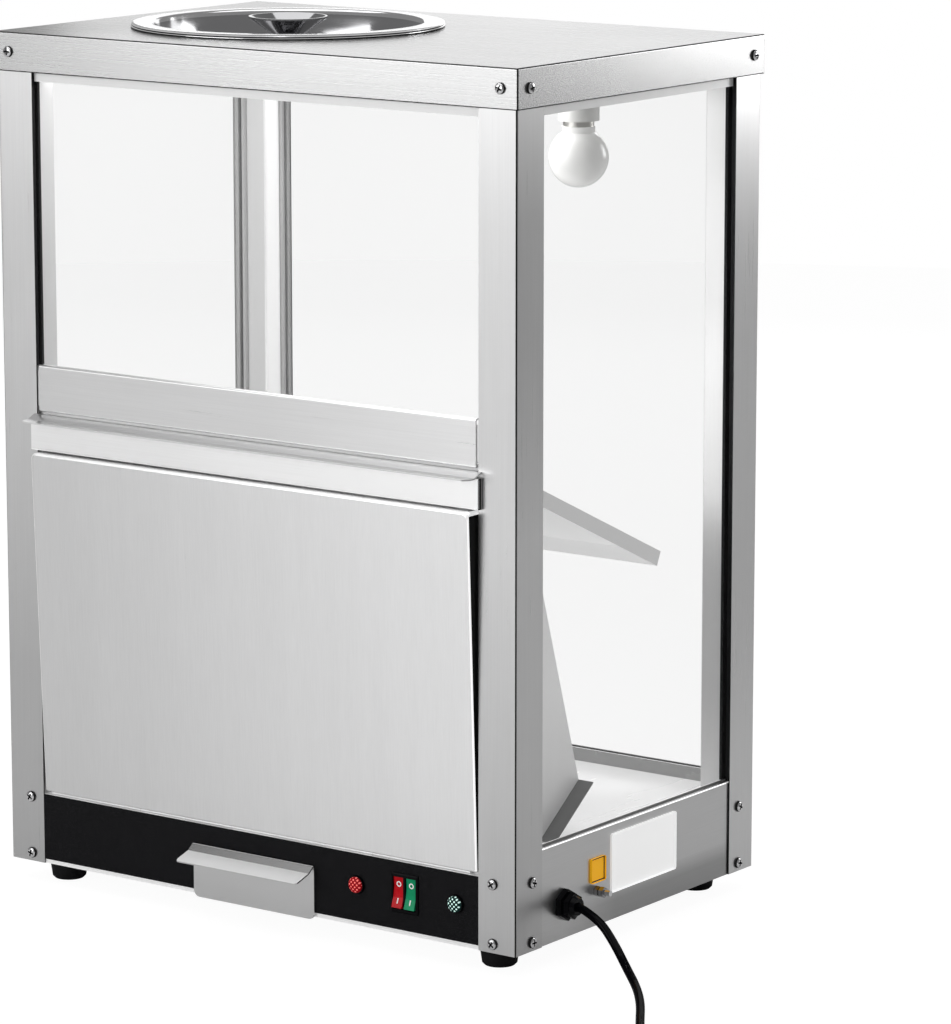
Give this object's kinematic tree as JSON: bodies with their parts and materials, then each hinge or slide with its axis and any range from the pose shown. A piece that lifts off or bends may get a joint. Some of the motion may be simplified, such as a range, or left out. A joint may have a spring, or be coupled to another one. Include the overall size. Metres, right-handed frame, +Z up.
{
  "type": "chip warmer",
  "caption": "Glazed counter-top chip warmer with a lift-off filling lid, a tilt-out front bin over a heated deck, a pull-out crumb tray, a lamp and rocker switches.",
  "frame": {"origin": "middle of the unit's box on the floor plane, measured without the cord, its coil and its plug", "axes": "+Z up, -Y towards the bin and the control panel, +X to the right seen from the front"},
  "size_m": [0.864, 0.601, 0.766],
  "materials": {
    "stainless": "vertical brushed grain",
    "stainless_inner": "soft satin",
    "polished_stainless": "mirror polished",
    "plated_sheet": "dull zinc plated",
    "plated_steel": "bright plated",
    "black_panel": "matte with fine speckle",
    "clear_glass": "clear float glass",
    "black_rubber": "matte",
    "black_nylon": "satin moulded",
    "white_plastic": "smooth moulded",
    "bulb_metal": "bright",
    "frosted_bulb": "frosted white",
    "element_sheath": "oxidised dark",
    "red_lens": "translucent faceted",
    "green_lens": "translucent faceted",
    "red_rocker": "translucent moulded",
    "green_rocker": "translucent moulded",
    "black_cord": "glossy sheath",
    "brass_pins": "bright"
  },
  "bodies": {
    "cabinet": {"top_cap": "stainless", "post_front_left": "stainless", "post_front_right": "stainless", "post_rear_left": "stainless", "post_rear_right": "stainless", "seat_angles_front": "stainless_inner", "seat_angles_rear": "stainless_inner", "glass_seals": "black_rubber", "glass_channels": "stainless_inner", "side_rail_left": "stainless", "side_rail_right": "stainless", "rear_rail": "stainless", "front_rail": "stainless", "control_panel": "black_panel", "base_pan": "plated_sheet", "deck_plate": "polished_stainless", "cross_rail": "stainless", "baffle": "stainless_inner", "front_glass": "clear_glass", "left_glass": "clear_glass", "right_glass": "clear_glass", "rear_glass": "clear_glass", "lamp_holder": "white_plastic", "bulb_cap": "bulb_metal", "bulb": "frosted_bulb", "hinge_fixed_leaf": "stainless_inner", "hinge_pin": "plated_steel", "tray_runners": "plated_sheet", "rocker_housing": "black_nylon", "indicator_bodies": "black_nylon", "red_lens": "red_lens", "green_lens": "green_lens", "heating_element": "element_sheath", "heater_straps": "plated_sheet", "thermostat": "plated_steel", "terminal_block": "white_plastic", "cable_gland": "black_nylon", "gland_nuts": "black_nylon", "earth_stud": "plated_steel", "earth_stud_nuts": "plated_steel", "feet": "black_rubber", "case_screws": "plated_steel", "cord_run": "black_cord", "cord_coil": "black_cord", "plug": "black_cord", "plug_pins": "brass_pins"},
    "lid": {"lid_pan": "polished_stainless", "lid_knob": "polished_stainless", "knob_screw": "plated_steel"},
    "bin": {"bin_skin": "stainless", "bin_strip": "stainless", "bin_front_wall": "stainless", "bin_floor": "stainless_inner", "bin_cheek_left": "stainless_inner", "bin_cheek_right": "stainless_inner", "hinge_moving_leaf": "stainless_inner"},
    "tray": {"crumb_tray": "stainless_inner", "tray_front": "stainless"},
    "red_rocker_switch": {"rocker_red": "red_rocker"},
    "green_rocker_switch": {"rocker_green": "green_rocker"}
  },
  "joints": [
    {"name": "lid_lift", "type": "slide", "parent": "cabinet", "child": "lid", "axis": [0, 0, 1], "range_m": [0, 0.3]},
    {"name": "bin_tilt", "type": "hinge", "parent": "cabinet", "child": "bin", "pos_m": [-0.00425, -0.16787, 0.0842], "axis": [1, 0, 0], "range_deg": [0, 55]},
    {"name": "tray_pull", "type": "slide", "parent": "cabinet", "child": "tray", "axis": [0, -1, 0], "range_m": [0, 0.24]},
    {"name": "red_rocker_tilt", "type": "hinge", "parent": "cabinet", "child": "red_rocker_switch", "pos_m": [0.15126, -0.16737, 0.0553], "axis": [1, 0, 0], "range_deg": [0, 16]},
    {"name": "green_rocker_tilt", "type": "hinge", "parent": "cabinet", "child": "green_rocker_switch", "pos_m": [0.16426, -0.16737, 0.0553], "axis": [1, 0, 0], "range_deg": [0, 16]}
  ]
}
